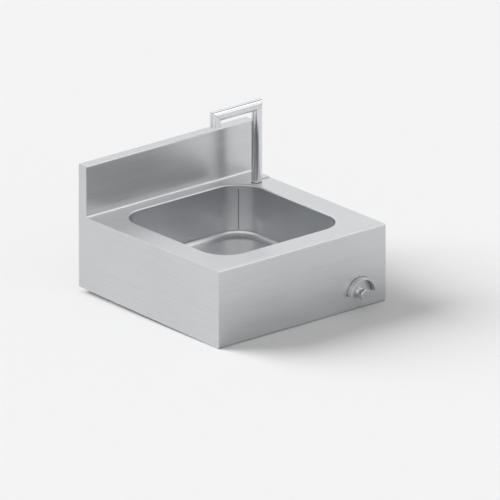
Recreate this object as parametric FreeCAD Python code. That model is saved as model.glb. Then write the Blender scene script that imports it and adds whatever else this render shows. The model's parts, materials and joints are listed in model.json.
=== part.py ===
import FreeCAD, Part
import math
import os

# Wall-hung hand-wash sink of folded stainless sheet, worked by a push button for the knee in its apron.
# Millimetres. +X is the user's right, +Y points into the wall and +Z up.
# The origin is on the wall, midway between the two screw holes of the hanging rail.

V = FreeCAD.Vector
LEFT, RIGHT = V(-1, 0, 0), V(1, 0, 0)
INWARD = V(0, 1, 0)
UP, DOWN = V(0, 0, 1), V(0, 0, -1)

# Shell
WIDTH = 400.0
DEPTH = 400.0
UNDER_BOWL = 50.0  # from the bowl's floor to the apron's lower edge
SIDE_RISE = 10.0  # the side panels' lower edge climbs this much from the apron to the wall
UPSTAND_HEIGHT = 100.0
UPSTAND_DEPTH = 22.0
SHEET = 1.2
BEND = 1.8  # inside radius of a fold
COVE = 4.0  # visible hollow radius where the deck turns up into the upstand
SEAM_FLANGE = 4.0  # flat strip past a fold, butt-welded to the deck
APRON_RETURN = 12.0  # lower edge of the apron, folded back
HOOK_LIP = 18.0  # rear edge of the upstand, folded down behind the rail
SIDE_FLANGE = 15.0  # rear edge of each side panel, folded in along the wall
EDGE_ROUND = 0.5  # ground outer edge of the side panels

# Bowl
SIDE_MARGIN = 50.0  # deck on each side of the bowl
FRONT_MARGIN = 50.0
BACK_MARGIN = 50.0  # from the wall
BOWL_DEPTH = 100.0
BOWL_CORNER = 55.0
FLOOR_ROUND = 12.0
RECESS_MARGIN = 3.0  # recess around the waste's flange
RECESS_DEPTH = 5.0
RECESS_BEND = 0.8  # under the recess's lip

# Wall rail and rear brace
RAIL_SHEET = 2.0
RAIL_INSET = 30.0  # rail's end from the sink's side
RAIL_STANDOFF = 4.0  # slot for the hook lip between the rail and the wall
RAIL_FOOT = 15.0  # rail below its screw line
RAIL_FLAT = 14.0  # from the screw line up to the rail's joggle
HOOK_ROOM = 4.0  # under the hook lip, down to the rail's joggle
RAIL_HOLE_RADIUS = 4.5
RAIL_HOLE_INSET = 50.0  # from the rail's end
BRACE_HEIGHT = 36.0
BRACE_DEPTH = 20.0
BRACE_ABOVE_EDGE = 2.0
BRACE_HOLE_RADIUS = 3.5
BRACE_HOLE_INSET = 35.0  # from the brace's end
BRACE_HOLE_HEIGHT = 18.0  # above the brace's lower edge

# Waste
FLANGE_RADIUS = 32.0
FLANGE_THICK = 3.0
FLANGE_LAND = 7.0  # flange outside its grid
TAIL_RADIUS = 20.955  # G 1 1/4 thread, outside
TAIL_WALL = 3.5
TAIL_FREE = 28.0  # free thread below the backnut's relief
WASTE_HOLE_GAP = 1.0
TOP_SEAL_THICK = 1.5
BOTTOM_SEAL_THICK = 3.0
BACKNUT_WALL = 7.0
BACKNUT_THICK = 8.0
RELIEF_WIDTH = 1.0  # thread relief under the backnut
RELIEF_DEPTH = 0.6
GRID_THICK = 2.0
GRID_HOLE_RADIUS = 2.6
GRID_PITCH = 7.4  # from each ring of holes to the next
SPIDER_WIDTH = 7.0
SPIDER_THICK = 7.0
GRID_SCREW_RADIUS = 2.5
GRID_SCREW_HEAD = 4.6
GRID_SLOT_WIDTH = 1.2
GRID_SLOT_DEPTH = 1.0

# Knee valve; depths run inwards from the front of the apron
VALVE_HEADROOM = 1.8  # between the barrel and the bowl
BUTTON_RADIUS = 10.0
BUTTON_PROUD = 16.0
BUTTON_GUIDED = 10.0  # length of button behind the apron's face
BUTTON_WALL = 1.7
BUTTON_CROWN = 4.0  # thickness of the button's face
BUTTON_ROUND = 1.5
BUTTON_TRAVEL = 7.0
BUTTON_OVERRUN = 3.0  # free bore behind a fully pressed button
NECK_WALL = 1.44
NECK_LEDGE = 5.5  # barrel outside the neck
BEZEL_WALL = 2.0
BEZEL_THICK = 3.0
BEZEL_SLOT_WIDTH = 2.0
BEZEL_SLOT_DEPTH = 1.5
GASKET_THICK = 2.0
GLAND_THICK = 8.0
STEM_RADIUS = 3.0
STEM_SEAL_WIRE = 1.1  # radius of the O-ring's section
CHAMBER_RADIUS = 10.0
CHAMBER_LENGTH = 12.0
SEAT_THICK = 4.0
SEAT_LAND = 3.0  # seal's overlap on the seat
POPPET_ROOM = 3.0  # water's way around the poppet
POPPET_THICK = 3.5
POPPET_SEAL_THICK = 1.5
RIVET_LEDGE = 1.5  # rivet outside the stem
RIVET_THICK = 1.5
BARREL_WALL = 5.0
SPRING_PRESSED = 10.0  # spring's length under a fully pressed button
SPRING_WIRE = 0.8  # radius
SPRING_ROOM = 1.2  # between the rivet and the coils
SPRING_TURNS = 5
CAP_PLUG = 6.0
CAP_SEAL_THICK = 1.5
CAP_COLLAR = 1.5
CAP_HEAD = 4.5
CAP_LEDGE = 5.0  # barrel outside the cap's flats
INLET_RADIUS = 10.475  # G 1/2 thread, outside
INLET_WALL = 3.5
INLET_LENGTH = 10.5
INLET_COLLAR = 2.0  # shoulder around the thread
INLET_COLLAR_DROP = 0.5  # shoulder below the barrel
INLET_MARGIN = 2.0  # from the shoulder to the barrel's rear end
FILTER_THICK = 1.2
FILTER_SETBACK = 1.2
FILTER_HOLE_RADIUS = 0.9
FILTER_PITCH = 2.35
BRANCH_GAP = 1.19  # between the barrel and the outlet's nut
BRANCH_NECK = 2.0  # between the elbow and the outlet's nut
BRANCH_SHOULDER = 1.0  # elbow outside the thread
OUTLET_BORE = 3.2

# Half-round guard over the button
GUARD_RADIUS = 31.0
GUARD_WALL = 4.5
GUARD_PROUD = 12.0
GUARD_END_FLAT = 0.5  # between the two rounds of each end
GUARD_EDGE_ROUND = 0.8

# Pipework
TUBE_RADIUS = 4.0
TUBE_WALL = 0.8
TUBE_BEND = 40.0  # radius of the tube's centre line
TUBE_SOCKET = 7.0  # depth of tube inside a fitting
FITTING_WALL = 3.0  # from the tube to the outside of a fitting's thread
FITTING_NUT_WALL = 1.5
FITTING_GRIP = 9.0  # nut's thread length over the fitting
OLIVE_LENGTH = 5.0
OLIVE_TAPER = 1.6
OLIVE_WALL = 1.8
NUT_END = 4.0  # nut's closed end around the tube

# Spout
SPOUT_OFF_BOWL = 16.0  # axis outside the bowl's right wall
SPOUT_OFF_BACK = 23.0  # axis in front of the bowl's back wall
SPOUT_RADIUS = 10.0
SPOUT_WALL = 1.5
SPOUT_RISE = 150.0  # arm's centre line above the deck
SPOUT_REACH = 100.0
SPOUT_TIP = 10.0  # outlet's end below the arm's underside
SWIVEL_BACK = 30.0  # degrees towards the wall
SWIVEL_FRONT = 90.0  # degrees towards the user
DECK_SEAL_THICK = 1.0
COLLAR_THICK = 2.5
COLLAR_LEDGE = 2.0  # collar outside the shank's thread
THRUST_THICK = 0.8
SHANK_BORE = 3.2
SHANK_SPARE = 6.0  # thread between the locknut and the tube's nut
ORING_HEIGHT = 7.0  # lower O-ring's centre above the collar
ORING_PITCH = 8.0
ORING_WIRE = 0.95  # radius of the O-ring's section
STOP_PITCH = 12.0  # stop groove's centre above the upper O-ring's
SPIGOT_SPARE = 9.0  # spigot above the stop groove's centre
STOP_GROOVE_DEPTH = 1.9
SET_SCREW_RADIUS = 2.5
SET_SCREW_BITE = 1.4  # tip inside the groove
SET_SCREW_SOCKET_FLATS = 2.5
SET_SCREW_SOCKET_DEPTH = 1.5
BACKING_LEDGE = 6.0  # backing washer outside the shank's thread
BACKING_THICK = 2.0
LOCKNUT_WALL = 4.0
LOCKNUT_THICK = 8.0
AERATOR_WALL = 1.2
AERATOR_SETBACK = 1.0
AERATOR_HEADROOM = 1.0  # below the arm's underside
SCREEN_THICK = 1.5
SCREEN_HOLE_RADIUS = 0.8
SCREEN_PITCH = 2.5

# Corner plate behind the spout's foot
PLATE_PAST_AXIS = 4.8  # plate's left edge to the right of the spout's axis
PLATE_BEHIND_AXIS = 3.0
PLATE_DEPTH = 18.0
PLATE_THICK = 2.0

# Perforated discs
HOLE_RINGS = 2
HOLES_MORE = 6  # holes in the first ring, and how many more each further ring has

# Clearances
THREAD_GAP = 0.05  # between threads that are drawn as plain cylinders
RUNNING_GAP = 0.06  # radial, sliding and turning fits
HOLE_GAP = 0.3  # radial, a bolt or shank in its hole
SEAT_GAP = 0.05  # between faces that meet only when a moving part is home
FOOT_GAP = 0.1  # under the turning spout
OVERSHOOT = 1.0  # how far a cutting tool runs past what it cuts

# Levels and places that follow from the sizes
JOGGLE_TOP = RAIL_FLAT + RAIL_STANDOFF
TOP_Z = JOGGLE_TOP + HOOK_ROOM + HOOK_LIP
DECK_Z = TOP_Z - UPSTAND_HEIGHT
FLOOR_Z = DECK_Z - BOWL_DEPTH
APRON_Z = FLOOR_Z - UNDER_BOWL
WALL_EDGE_Z = APRON_Z + SIDE_RISE
FRONT_Y = -DEPTH
HALF_WIDTH = WIDTH / 2
INNER_HALF = HALF_WIDTH - SHEET
FOLD = BEND + SHEET  # outside radius of a fold
RIM_WIDTH = FOLD + SEAM_FLANGE  # from the bowl's wall to its weld with the deck
DECK_FRONT = FRONT_Y + FOLD + SEAM_FLANGE
DECK_BACK = -UPSTAND_DEPTH - COVE - SEAM_FLANGE
BOWL_LEFT, BOWL_RIGHT = SIDE_MARGIN - HALF_WIDTH, HALF_WIDTH - SIDE_MARGIN
BOWL_FRONT, BOWL_BACK = FRONT_Y + FRONT_MARGIN, -BACK_MARGIN
BOWL_CENTRE = V((BOWL_LEFT + BOWL_RIGHT) / 2, (BOWL_FRONT + BOWL_BACK) / 2, FLOOR_Z)

# Spout: heights from the deck's face
SPOUT_FOOT = V(BOWL_RIGHT + SPOUT_OFF_BOWL, BOWL_BACK - SPOUT_OFF_BACK, DECK_Z)
ARM_CORNER = SPOUT_FOOT + UP * SPOUT_RISE
ARM_END = ARM_CORNER + LEFT * SPOUT_REACH
SPOUT_MOUTH = ARM_END + DOWN * (SPOUT_RADIUS + SPOUT_TIP)
SPOUT_BORE = SPOUT_RADIUS - SPOUT_WALL
SPIGOT_RADIUS = SPOUT_BORE - RUNNING_GAP
SHANK_THREAD = SPOUT_RADIUS - COLLAR_LEDGE
COLLAR_LOW = DECK_SEAL_THICK
COLLAR_TOP = COLLAR_LOW + COLLAR_THICK
ORING_LEVELS = (COLLAR_TOP + ORING_HEIGHT, COLLAR_TOP + ORING_HEIGHT + ORING_PITCH)
STOP_HEIGHT = max(ORING_LEVELS) + STOP_PITCH
SPIGOT_TOP = STOP_HEIGHT + SPIGOT_SPARE
RISER_LOW = COLLAR_TOP + THRUST_THICK + FOOT_GAP
LOCKNUT_TOP = -SHEET - BACKING_THICK
LOCKNUT_LOW = LOCKNUT_TOP - LOCKNUT_THICK
SHANK_LOW = LOCKNUT_LOW - SHANK_SPARE - FITTING_GRIP
TAIL_MOUTH = SPOUT_FOOT + UP * SHANK_LOW

# Fittings
FITTING_THREAD = TUBE_RADIUS + FITTING_WALL
FITTING_FLATS = 2 * (FITTING_THREAD + FITTING_NUT_WALL)
OLIVE_ROOM = OLIVE_LENGTH + 2 * SEAT_GAP

# Knee valve: its axis stands to the left of the spout, so that the outlet's branch is under the spout's tail
NECK_RADIUS = BUTTON_RADIUS + RUNNING_GAP + NECK_WALL
BARREL_RADIUS = NECK_RADIUS + NECK_LEDGE
REAR_BORE = BARREL_RADIUS - BARREL_WALL
POPPET_RADIUS = REAR_BORE - POPPET_ROOM
SEAT_RADIUS = POPPET_RADIUS - SEAT_LAND
RIVET_RADIUS = STEM_RADIUS + RIVET_LEDGE
BRANCH_OFFSET = BARREL_RADIUS + BRANCH_GAP + FITTING_FLATS / math.sqrt(3)
VALVE_FACE = V(SPOUT_FOOT.x - BRANCH_OFFSET, FRONT_Y, FLOOR_Z - SHEET - VALVE_HEADROOM - BARREL_RADIUS)
BEZEL_BORE = NECK_RADIUS + THREAD_GAP
SHOULDER = SHEET + GASKET_THICK
BUTTON_HOLLOW = BUTTON_CROWN - BUTTON_PROUD
BORE_END = BUTTON_GUIDED + BUTTON_TRAVEL + BUTTON_OVERRUN
GLAND_END = BORE_END + GLAND_THICK
GLAND_MIDDLE = BORE_END + GLAND_THICK / 2
CHAMBER_END = GLAND_END + CHAMBER_LENGTH
SEAT_FACE = CHAMBER_END + SEAT_THICK
SEAL_FACE = SEAT_FACE + SEAT_GAP
POPPET_FACE = SEAL_FACE + POPPET_SEAL_THICK
POPPET_BACK = POPPET_FACE + POPPET_THICK
SPRING_LENGTH = SPRING_PRESSED + BUTTON_TRAVEL
SPRING_END = POPPET_BACK + SPRING_LENGTH
SPRING_RADIUS = RIVET_RADIUS + SPRING_ROOM + SPRING_WIRE
BARREL_END = SPRING_END + CAP_PLUG
CAP_START = BARREL_END + CAP_SEAL_THICK
OUTLET_BASE = VALVE_FACE + INWARD * (GLAND_END + CHAMBER_LENGTH / 2)
BRANCH_ELBOW = OUTLET_BASE + RIGHT * BRANCH_OFFSET
BRANCH_RADIUS = FITTING_THREAD + BRANCH_SHOULDER
BRANCH_LENGTH = BRANCH_RADIUS + BRANCH_NECK + FITTING_GRIP
OUTLET_MOUTH = BRANCH_ELBOW + INWARD * BRANCH_LENGTH
INLET_BASE = VALVE_FACE + INWARD * (BARREL_END - INLET_MARGIN - INLET_COLLAR - INLET_RADIUS)
INLET_BORE = INLET_RADIUS - INLET_WALL
INLET_TOP = BARREL_RADIUS + INLET_COLLAR_DROP
INLET_END = INLET_TOP + INLET_LENGTH

# Waste: heights from the bowl's floor
SEAL_LOW = -RECESS_DEPTH
FLANGE_LOW = SEAL_LOW + TOP_SEAL_THICK
FLANGE_TOP = FLANGE_LOW + FLANGE_THICK
GRID_LOW = FLANGE_TOP - GRID_THICK
SPIDER_LOW = GRID_LOW - SPIDER_THICK
RECESS_UNDER = -RECESS_DEPTH - SHEET
BACKNUT_TOP = RECESS_UNDER - BOTTOM_SEAL_THICK
BACKNUT_LOW = BACKNUT_TOP - BACKNUT_THICK
RELIEF_LOW = BACKNUT_LOW - RELIEF_WIDTH
TAIL_LOW = RELIEF_LOW - TAIL_FREE
TAIL_BORE = TAIL_RADIUS - TAIL_WALL
RECESS_RADIUS = FLANGE_RADIUS + RECESS_MARGIN
GRID_RADIUS = FLANGE_RADIUS - FLANGE_LAND


# Shapes that several pieces share

def coaxial(base, direction):
    """A maker of cylinders on one axis, each between two distances from base."""

    def make(radius, start, end):
        return Part.makeCylinder(radius, end - start, base + direction * start, direction)

    return make


valve_axis = coaxial(VALVE_FACE, INWARD)
outlet_axis = coaxial(OUTLET_BASE, RIGHT)
branch_axis = coaxial(BRANCH_ELBOW, INWARD)
inlet_axis = coaxial(INLET_BASE, DOWN)
waste_axis = coaxial(BOWL_CENTRE, UP)
spout_axis = coaxial(SPOUT_FOOT, UP)
mouth_axis = coaxial(SPOUT_MOUTH, UP)
stop_axis = coaxial(SPOUT_FOOT + UP * STOP_HEIGHT, INWARD)


def ring(axis, outer, inner, start, end):
    """A plain washer or sleeve on an axis."""
    return axis(outer, start, end).cut(axis(inner, start - OVERSHOOT, end + OVERSHOOT))


def block(low, high):
    """A box between two corners."""
    size = high - low
    return Part.makeBox(size.x, size.y, size.z, low)


def placed(shape, base, direction):
    """The shape, made at the origin along +Z, moved to base and turned to point along direction."""
    shape.Placement = FreeCAD.Placement(base, FreeCAD.Rotation(UP, direction))
    return shape


def hexagon(flats, start, end, base, direction):
    """A hexagonal bar between two distances from base, with its corners turned off at both ends."""
    corner = flats / math.sqrt(3)
    turned = (corner - flats / 2) / 2
    angles = [k * math.pi / 3 for k in range(7)]
    outline = Part.makePolygon([V(corner * math.cos(a), corner * math.sin(a), start) for a in angles])
    bar = Part.Face(outline).extrude(UP * (end - start))
    low = Part.makeCone(flats / 2, corner, turned, V(0, 0, start))
    middle = Part.makeCylinder(corner, end - start - 2 * turned, V(0, 0, start + turned))
    high = Part.makeCone(corner, flats / 2, turned, V(0, 0, end - turned))
    return placed(bar.common(low.fuse([middle, high])), base, direction)


def rounded_path(points, radii, closed=False):
    """Edges of a line through (y, z) points at x = 0, with an arc at each corner that has a radius."""
    count = len(points)
    corners = [V(0, y, z) for y, z in points]
    entries, exits, arcs = [], [], []
    for i, corner in enumerate(corners):
        if not radii[i] or (not closed and i in (0, count - 1)):
            entries.append(corner)
            exits.append(corner)
            arcs.append(None)
            continue
        back = (corners[i - 1] - corner).normalize()
        ahead = (corners[(i + 1) % count] - corner).normalize()
        half = back.getAngle(ahead) / 2
        reach = radii[i] / math.tan(half)
        middle = corner + (back + ahead).normalize() * (radii[i] / math.sin(half) - radii[i])
        entries.append(corner + back * reach)
        exits.append(corner + ahead * reach)
        arcs.append(Part.Arc(entries[i], middle, exits[i]).toShape())
    edges = []
    for i in range(count):
        if arcs[i]:
            edges.append(arcs[i])
        if closed or i < count - 1:
            edges.append(Part.LineSegment(exits[i], entries[(i + 1) % count]).toShape())
    return edges


def offset_points(points, distance):
    """The same line of (y, z) points, moved to its own left by distance."""
    last = len(points) - 1
    moved = []
    for i, (y, z) in enumerate(points):
        normals = []
        for first in (max(i - 1, 0), min(i, last - 1)):
            (ay, az), (by, bz) = points[first], points[first + 1]
            run = math.hypot(by - ay, bz - az)
            normals.append(((az - bz) / run, (by - ay) / run))
        (ay, az), (by, bz) = normals
        scale = distance / (1 + ay * by + az * bz)
        moved.append((y + (ay + by) * scale, z + (az + bz) * scale))
    return moved


def folded_sheet(points, bends, thickness, left, right):
    """Sheet folded along a line of (y, z) points, from x = left to right, its thickness on the line's left.
    Each bend is the radius on its hollow side."""
    skin, back = [], []
    for i, bend in enumerate(bends):
        turn = 0.0
        if 0 < i < len(points) - 1:
            (ay, az), (by, bz), (cy, cz) = points[i - 1:i + 2]
            turn = (by - ay) * (cz - bz) - (bz - az) * (cy - by)
        skin.append(bend + thickness if turn > 0 else bend)
        back.append(bend if turn > 0 else bend + thickness)
    far = offset_points(points, thickness)
    edges = rounded_path(points, skin) + rounded_path(far, back)
    for a, b in ((points[0], far[0]), (points[-1], far[-1])):
        edges.append(Part.LineSegment(V(0, *a), V(0, *b)).toShape())
    face = Part.Face(Part.Wire(Part.__sortEdges__(edges)))
    face.translate(V(left, 0, 0))
    return face.extrude(V(right - left, 0, 0))


def rounded_prism(grow, low, high):
    """An upright prism on the bowl's outline, grown sideways by grow, with its rounded corners."""
    corner = V(BOWL_LEFT - grow, BOWL_FRONT - grow, low)
    prism = block(corner, V(BOWL_RIGHT + grow, BOWL_BACK + grow, high))
    upright = [edge for edge in prism.Edges if edge.BoundBox.ZLength > (high - low) / 2]
    return prism.makeFillet(BOWL_CORNER + grow, upright)


def level_edges(shape, level, reach):
    """The shape's level edges at one height that lie within the bowl's outline, grown by reach."""
    found = []
    for edge in shape.Edges:
        points = edge.discretize(5)
        flat = all(abs(point.z - level) < 1e-6 for point in points)
        across = all(BOWL_LEFT - reach < point.x < BOWL_RIGHT + reach for point in points)
        along = all(BOWL_FRONT - reach < point.y < BOWL_BACK + reach for point in points)
        if flat and across and along:
            found.append(edge)
    return found


def drilled(shape, base, pitch, radius, start, end):
    """The shape with rings of upright holes around base, each ring a pitch further out."""
    holes = []
    for number in range(1, HOLE_RINGS + 1):
        count = HOLES_MORE * number
        for k in range(count):
            hole = coaxial(base + RIGHT * (pitch * number), UP)(radius, start - OVERSHOOT, end + OVERSHOOT)
            hole.rotate(base, UP, 360.0 * k / count)
            holes.append(hole)
    return shape.cut(holes)


# Shell

def deck_panel():
    """Flat deck with the bowl's cut-out and the spout's hole."""
    deck = block(V(-INNER_HALF, DECK_FRONT, DECK_Z - SHEET), V(INNER_HALF, DECK_BACK, DECK_Z))
    deck = deck.cut(rounded_prism(RIM_WIDTH, DECK_Z - SHEET - OVERSHOOT, DECK_Z + OVERSHOOT))
    return deck.cut(spout_axis(SHANK_THREAD + HOLE_GAP, -SHEET - OVERSHOOT, OVERSHOOT))


def backsplash():
    """Upstand folded from one sheet: hook lip, top return, face, cove and the strip welded to the deck."""
    line = [
        (0, TOP_Z - HOOK_LIP),
        (0, TOP_Z),
        (-UPSTAND_DEPTH, TOP_Z),
        (-UPSTAND_DEPTH, DECK_Z),
        (DECK_BACK, DECK_Z),
    ]
    return folded_sheet(line, [0, BEND, BEND, COVE, 0], SHEET, -INNER_HALF, INNER_HALF)


def front_panel():
    """Apron folded from one sheet: strip welded to the deck, face with the valve's hole, lower return."""
    line = [
        (DECK_FRONT, DECK_Z),
        (FRONT_Y, DECK_Z),
        (FRONT_Y, APRON_Z),
        (FRONT_Y + APRON_RETURN, APRON_Z),
    ]
    panel = folded_sheet(line, [0, BEND, BEND, 0], SHEET, -INNER_HALF, INNER_HALF)
    return panel.cut(valve_axis(NECK_RADIUS + HOLE_GAP, -OVERSHOOT, SHEET + OVERSHOOT))


def side_panel(sign):
    """Flat end plate on the folded profile, with a flange along the wall; sign is -1 on the left."""
    profile = [
        (FRONT_Y, APRON_Z),
        (FRONT_Y, DECK_Z),
        (-UPSTAND_DEPTH, DECK_Z),
        (-UPSTAND_DEPTH, TOP_Z),
        (0, TOP_Z),
        (0, WALL_EDGE_Z),
    ]
    edges = rounded_path(profile, [FOLD, FOLD, COVE, FOLD, FOLD, 0], closed=True)
    plate = Part.Face(Part.Wire(Part.__sortEdges__(edges))).extrude(V(sign * SHEET, 0, 0))
    plate.translate(V(sign * INNER_HALF, 0, 0))
    outer = max(plate.Faces, key=lambda face: sign * face.CenterOfMass.x)
    plate = plate.makeFillet(EDGE_ROUND, outer.Edges)
    left, right = sorted((sign * (HALF_WIDTH - SIDE_FLANGE), sign * INNER_HALF))
    flange = block(V(left, -SHEET, WALL_EDGE_Z), V(right, 0, TOP_Z - HOOK_LIP - HOLE_GAP))
    return plate.fuse(flange).removeSplitter()


def bowl():
    """Pressed bowl: flat rim, rounded lip, upright walls, rounded floor and the recess for the waste."""
    void = rounded_prism(0, FLOOR_Z, DECK_Z + OVERSHOOT)
    void = void.makeFillet(FLOOR_ROUND, level_edges(void, FLOOR_Z, OVERSHOOT))
    wall = rounded_prism(SHEET, FLOOR_Z - SHEET, DECK_Z)
    wall = wall.makeFillet(FLOOR_ROUND + SHEET, level_edges(wall, FLOOR_Z - SHEET, SHEET + OVERSHOOT))
    rim = rounded_prism(RIM_WIDTH, DECK_Z - SHEET, DECK_Z)
    recess = waste_axis(RECESS_RADIUS + SHEET, RECESS_UNDER, 0)
    shell = wall.fuse([rim, recess]).removeSplitter().cut(void)
    shell = shell.makeFillet(FOLD, level_edges(shell, DECK_Z, SHEET / 2))
    shell = shell.makeFillet(BEND, level_edges(shell, DECK_Z - SHEET, SHEET + SHEET / 2))
    shell = shell.cut(waste_axis(RECESS_RADIUS, -RECESS_DEPTH, OVERSHOOT))
    lip = [e for e in level_edges(shell, FLOOR_Z, 0) if e.BoundBox.XLength < 2 * (RECESS_RADIUS + SHEET)]
    shell = shell.makeFillet(RECESS_BEND + SHEET, lip)
    return shell.cut(waste_axis(TAIL_RADIUS + WASTE_HOLE_GAP, RECESS_UNDER - OVERSHOOT, OVERSHOOT))


def rear_brace():
    """Angle along the wall between the side panels' flanges, with the two lower screw holes."""
    low = WALL_EDGE_Z + BRACE_ABOVE_EDGE
    half = HALF_WIDTH - SIDE_FLANGE
    line = [(0, low), (0, low + BRACE_HEIGHT), (-BRACE_DEPTH, low + BRACE_HEIGHT)]
    brace = folded_sheet(line, [0, BEND, 0], SHEET, -half, half)
    for side in (LEFT, RIGHT):
        hole = coaxial(side * (half - BRACE_HOLE_INSET) + UP * (low + BRACE_HOLE_HEIGHT), INWARD)
        brace = brace.cut(hole(BRACE_HOLE_RADIUS, -SHEET - OVERSHOOT, OVERSHOOT))
    return brace


def wall_rail():
    """Hanging rail: screwed flat to the wall, joggled forward so that the hook lip drops behind it."""
    half = HALF_WIDTH - RAIL_INSET
    line = [
        (0, -RAIL_FOOT),
        (0, RAIL_FLAT),
        (-RAIL_STANDOFF, JOGGLE_TOP),
        (-RAIL_STANDOFF, TOP_Z - SHEET),
    ]
    rail = folded_sheet(line, [0, BEND, BEND, 0], RAIL_SHEET, -half, half)
    for side in (LEFT, RIGHT):
        hole = coaxial(side * (half - RAIL_HOLE_INSET), INWARD)
        rail = rail.cut(hole(RAIL_HOLE_RADIUS, -RAIL_SHEET - OVERSHOOT, OVERSHOOT))
    return rail


def knee_guard():
    """Half ring welded to the apron over the button."""
    guard = ring(valve_axis, GUARD_RADIUS, GUARD_RADIUS - GUARD_WALL, -GUARD_PROUD, 0)
    reach = GUARD_RADIUS + OVERSHOOT
    corner = VALVE_FACE + V(-reach, -GUARD_PROUD - OVERSHOOT, -reach)
    guard = guard.cut(block(corner, VALVE_FACE + V(reach, OVERSHOOT, 0)))
    feet = [face for face in guard.Faces if face.BoundBox.ZLength < 1e-6]
    ends = [e for face in feet for e in face.Edges if e.BoundBox.YLength > GUARD_PROUD / 2]
    guard = guard.makeFillet((GUARD_WALL - GUARD_END_FLAT) / 2, ends)
    front = min(guard.Faces, key=lambda face: face.CenterOfMass.y)
    return guard.makeFillet(GUARD_EDGE_ROUND, front.Edges)


def tap_corner_plate():
    """Small plate on the deck behind the spout's foot, flush with the deck's right edge."""
    low = SPOUT_FOOT + V(PLATE_PAST_AXIS, PLATE_BEHIND_AXIS, 0)
    plate = block(low, V(INNER_HALF, low.y + PLATE_DEPTH, DECK_Z + PLATE_THICK))
    return plate.cut(spout_axis(SPOUT_RADIUS + HOLE_GAP, -OVERSHOOT, PLATE_THICK + OVERSHOOT))


# Waste

def waste_flange():
    """Flange and threaded tail in one casting, with a spider across the bore that takes the grid's screw."""
    casting = waste_axis(FLANGE_RADIUS, FLANGE_LOW, FLANGE_TOP)
    casting = casting.fuse(waste_axis(TAIL_RADIUS, TAIL_LOW, FLANGE_LOW))
    casting = casting.cut(waste_axis(TAIL_BORE, TAIL_LOW - OVERSHOOT, FLANGE_TOP + OVERSHOOT))
    casting = casting.cut(waste_axis(GRID_RADIUS + RUNNING_GAP, GRID_LOW, FLANGE_TOP + OVERSHOOT))
    half = V(TAIL_BORE + TAIL_WALL / 2, SPIDER_WIDTH / 2, 0)
    spider = block(BOWL_CENTRE - half + UP * SPIDER_LOW, BOWL_CENTRE + half + UP * GRID_LOW)
    casting = casting.fuse(spider).removeSplitter()
    relief = ring(waste_axis, TAIL_RADIUS + OVERSHOOT, TAIL_RADIUS - RELIEF_DEPTH, RELIEF_LOW, BACKNUT_LOW)
    screw_hole = waste_axis(GRID_SCREW_RADIUS + THREAD_GAP, SPIDER_LOW - OVERSHOOT, FLANGE_TOP)
    return casting.cut([relief, screw_hole])


def countersink(gap):
    """Cone of the grid screw's head, wider all round by gap."""
    base = BOWL_CENTRE + UP * GRID_LOW
    return Part.makeCone(GRID_SCREW_RADIUS + gap, GRID_SCREW_HEAD + gap, GRID_THICK, base, UP)


def waste_grid():
    """Perforated disc in the flange, countersunk for its screw."""
    grid = waste_axis(GRID_RADIUS, GRID_LOW, FLANGE_TOP)
    grid = drilled(grid, BOWL_CENTRE, GRID_PITCH, GRID_HOLE_RADIUS, GRID_LOW, FLANGE_TOP)
    return grid.cut(countersink(THREAD_GAP))


def grid_screw():
    """Countersunk screw with a straight slot."""
    screw = countersink(0).fuse(waste_axis(GRID_SCREW_RADIUS, SPIDER_LOW, GRID_LOW)).removeSplitter()
    half = V(GRID_SCREW_HEAD + OVERSHOOT, GRID_SLOT_WIDTH / 2, 0)
    low = BOWL_CENTRE - half + UP * (FLANGE_TOP - GRID_SLOT_DEPTH)
    return screw.cut(block(low, BOWL_CENTRE + half + UP * (FLANGE_TOP + OVERSHOOT)))


def waste_top_seal():
    """Rubber ring between the flange and the recess."""
    return ring(waste_axis, FLANGE_RADIUS - HOLE_GAP, TAIL_RADIUS + HOLE_GAP, SEAL_LOW, FLANGE_LOW)


def waste_bottom_seal():
    """Rubber ring between the recess and the backnut."""
    return ring(waste_axis, FLANGE_RADIUS, TAIL_RADIUS + HOLE_GAP, BACKNUT_TOP, RECESS_UNDER)


def waste_backnut():
    """Thin hexagonal nut that clamps the bowl between the two seals."""
    bore = TAIL_RADIUS + THREAD_GAP
    nut = hexagon(2 * (bore + BACKNUT_WALL), BACKNUT_LOW, BACKNUT_TOP, BOWL_CENTRE, UP)
    return nut.cut(waste_axis(bore, BACKNUT_LOW - OVERSHOOT, BACKNUT_TOP + OVERSHOOT))


# Knee valve

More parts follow.
